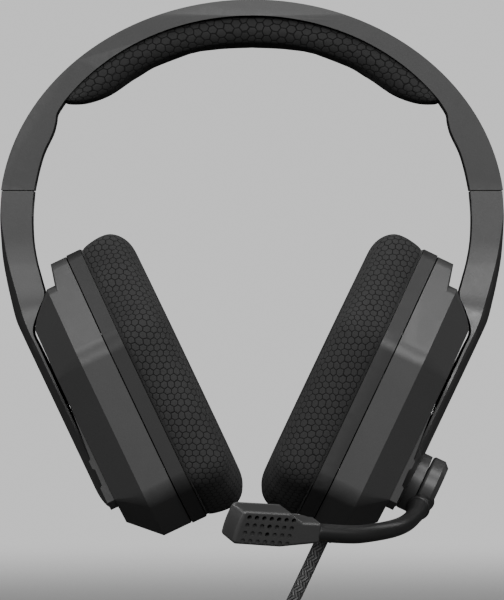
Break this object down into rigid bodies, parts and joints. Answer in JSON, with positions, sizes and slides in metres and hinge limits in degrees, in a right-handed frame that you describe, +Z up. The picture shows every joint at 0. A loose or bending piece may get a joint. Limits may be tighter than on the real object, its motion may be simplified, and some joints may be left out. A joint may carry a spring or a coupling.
{
  "type": "gaming headset",
  "caption": "Over-ear wired headset with a padded headband, sliding arms, faceted ear cups with mesh cushions and a boom microphone.",
  "frame": {"origin": "middle of the underside of the headband pad, where it rests on the crown of the head", "axes": "+X towards the wearer's left (the microphone side), -Y the way the wearer faces, +Z up"},
  "size_m": [0.1712, 0.1427, 0.2436],
  "materials": {
    "shell_plastic": "fine-grained matte charcoal moulding",
    "cup_plastic": "fine-grained matte charcoal moulding with crisp facets",
    "arm_plastic": "fine-grained matte charcoal moulding",
    "dark_plastic": "matte black moulding",
    "ring_plastic": "matte dark grey moulding",
    "trim_plastic": "satin dark grey moulding",
    "pad_fabric": "black knitted mesh with a pressed hexagon pattern",
    "cushion_fabric": "dark grey knitted mesh with a pressed hexagon pattern",
    "ear_cloth": "thin black acoustic cloth",
    "steel": "brushed spring steel",
    "screw_steel": "zinc-plated steel",
    "magnet_steel": "nickel-plated",
    "diaphragm_film": "thin amber film",
    "board": "green solder mask",
    "pot_plastic": "black moulding",
    "boom_rubber": "soft-touch black rubber sleeve",
    "capsule_plastic": "fine-grained matte charcoal moulding",
    "mic_metal": "plain aluminium can",
    "relief_rubber": "matte black moulded rubber",
    "cord_braid": "black and grey textile braid",
    "tie_fabric": "black hook-and-loop strap",
    "plug_plastic": "matte black moulding",
    "jack_metal": "gold-plated brass"
  },
  "bodies": {
    "headband": {"headband_shell": "shell_plastic", "headband_liner": "dark_plastic", "headband_spring": "steel", "headband_pad": "pad_fabric", "left_end_cover": "dark_plastic", "right_end_cover": "dark_plastic", "end_cover_screws": "screw_steel", "detent_springs": "steel"},
    "left_arm": {"left_slider": "steel", "left_slider_screws": "screw_steel", "left_arm_cover": "arm_plastic", "left_arm_plate": "dark_plastic", "mic_hub_base": "shell_plastic"},
    "right_arm": {"right_slider": "steel", "right_slider_screws": "screw_steel", "right_arm_cover": "arm_plastic", "right_arm_plate": "dark_plastic"},
    "left_cup": {"left_pivot_pin": "steel", "left_pivot_clip": "steel", "left_pivot_nut": "steel", "left_cup_housing": "cup_plastic", "left_cup_trim": "trim_plastic", "left_cup_ring": "ring_plastic", "left_baffle": "dark_plastic", "left_driver_basket": "dark_plastic", "left_driver_magnet": "magnet_steel", "left_diaphragm": "diaphragm_film", "left_ear_cloth": "ear_cloth", "left_cushion": "cushion_fabric", "left_cup_screws": "screw_steel", "circuit_board": "board", "volume_pot": "pot_plastic", "strain_relief": "relief_rubber", "cord_lead": "cord_braid", "cord_coil": "cord_braid", "cord_tail": "cord_braid", "cord_tie": "tie_fabric", "plug_body": "plug_plastic", "plug_pin": "jack_metal"},
    "right_cup": {"right_pivot_pin": "steel", "right_pivot_clip": "steel", "right_pivot_nut": "steel", "right_cup_housing": "cup_plastic", "right_cup_trim": "trim_plastic", "right_cup_ring": "ring_plastic", "right_baffle": "dark_plastic", "right_driver_basket": "dark_plastic", "right_driver_magnet": "magnet_steel", "right_diaphragm": "diaphragm_film", "right_ear_cloth": "ear_cloth", "right_cushion": "cushion_fabric", "right_cup_screws": "screw_steel"},
    "mic_arm": {"mic_hub_cap": "arm_plastic", "mic_hub_screw": "screw_steel", "mic_boom": "boom_rubber", "mic_capsule_front": "capsule_plastic", "mic_capsule_back": "capsule_plastic", "mic_element": "mic_metal"},
    "volume_wheel": {"volume_wheel": "dark_plastic"}
  },
  "joints": [
    {"name": "left_arm_slide", "type": "slide", "parent": "headband", "child": "left_arm", "axis": [0.1736, 0, -0.9848], "range_m": [0, 0.018]},
    {"name": "right_arm_slide", "type": "slide", "parent": "headband", "child": "right_arm", "axis": [-0.1736, 0, -0.9848], "range_m": [0, 0.018]},
    {"name": "left_cup_pivot", "type": "hinge", "parent": "left_arm", "child": "left_cup", "pos_m": [0.0396, 0, -0.1149], "axis": [0.9033, 0, -0.4289], "range_deg": [-5, 5]},
    {"name": "right_cup_pivot", "type": "hinge", "parent": "right_arm", "child": "right_cup", "pos_m": [-0.0396, 0, -0.1149], "axis": [-0.9033, 0, -0.4289], "range_deg": [-5, 5]},
    {"name": "mic_arm_hinge", "type": "hinge", "parent": "left_arm", "child": "mic_arm", "pos_m": [0.05954, 0, -0.14983], "axis": [0.9033, 0, -0.4289], "range_deg": [-75, 12]},
    {"name": "volume_wheel_turn", "type": "hinge", "parent": "left_cup", "child": "volume_wheel", "pos_m": [0.0434, 0.0356, -0.12556], "axis": [0.9033, 0, -0.4289], "range_deg": [-140, 140]}
  ]
}
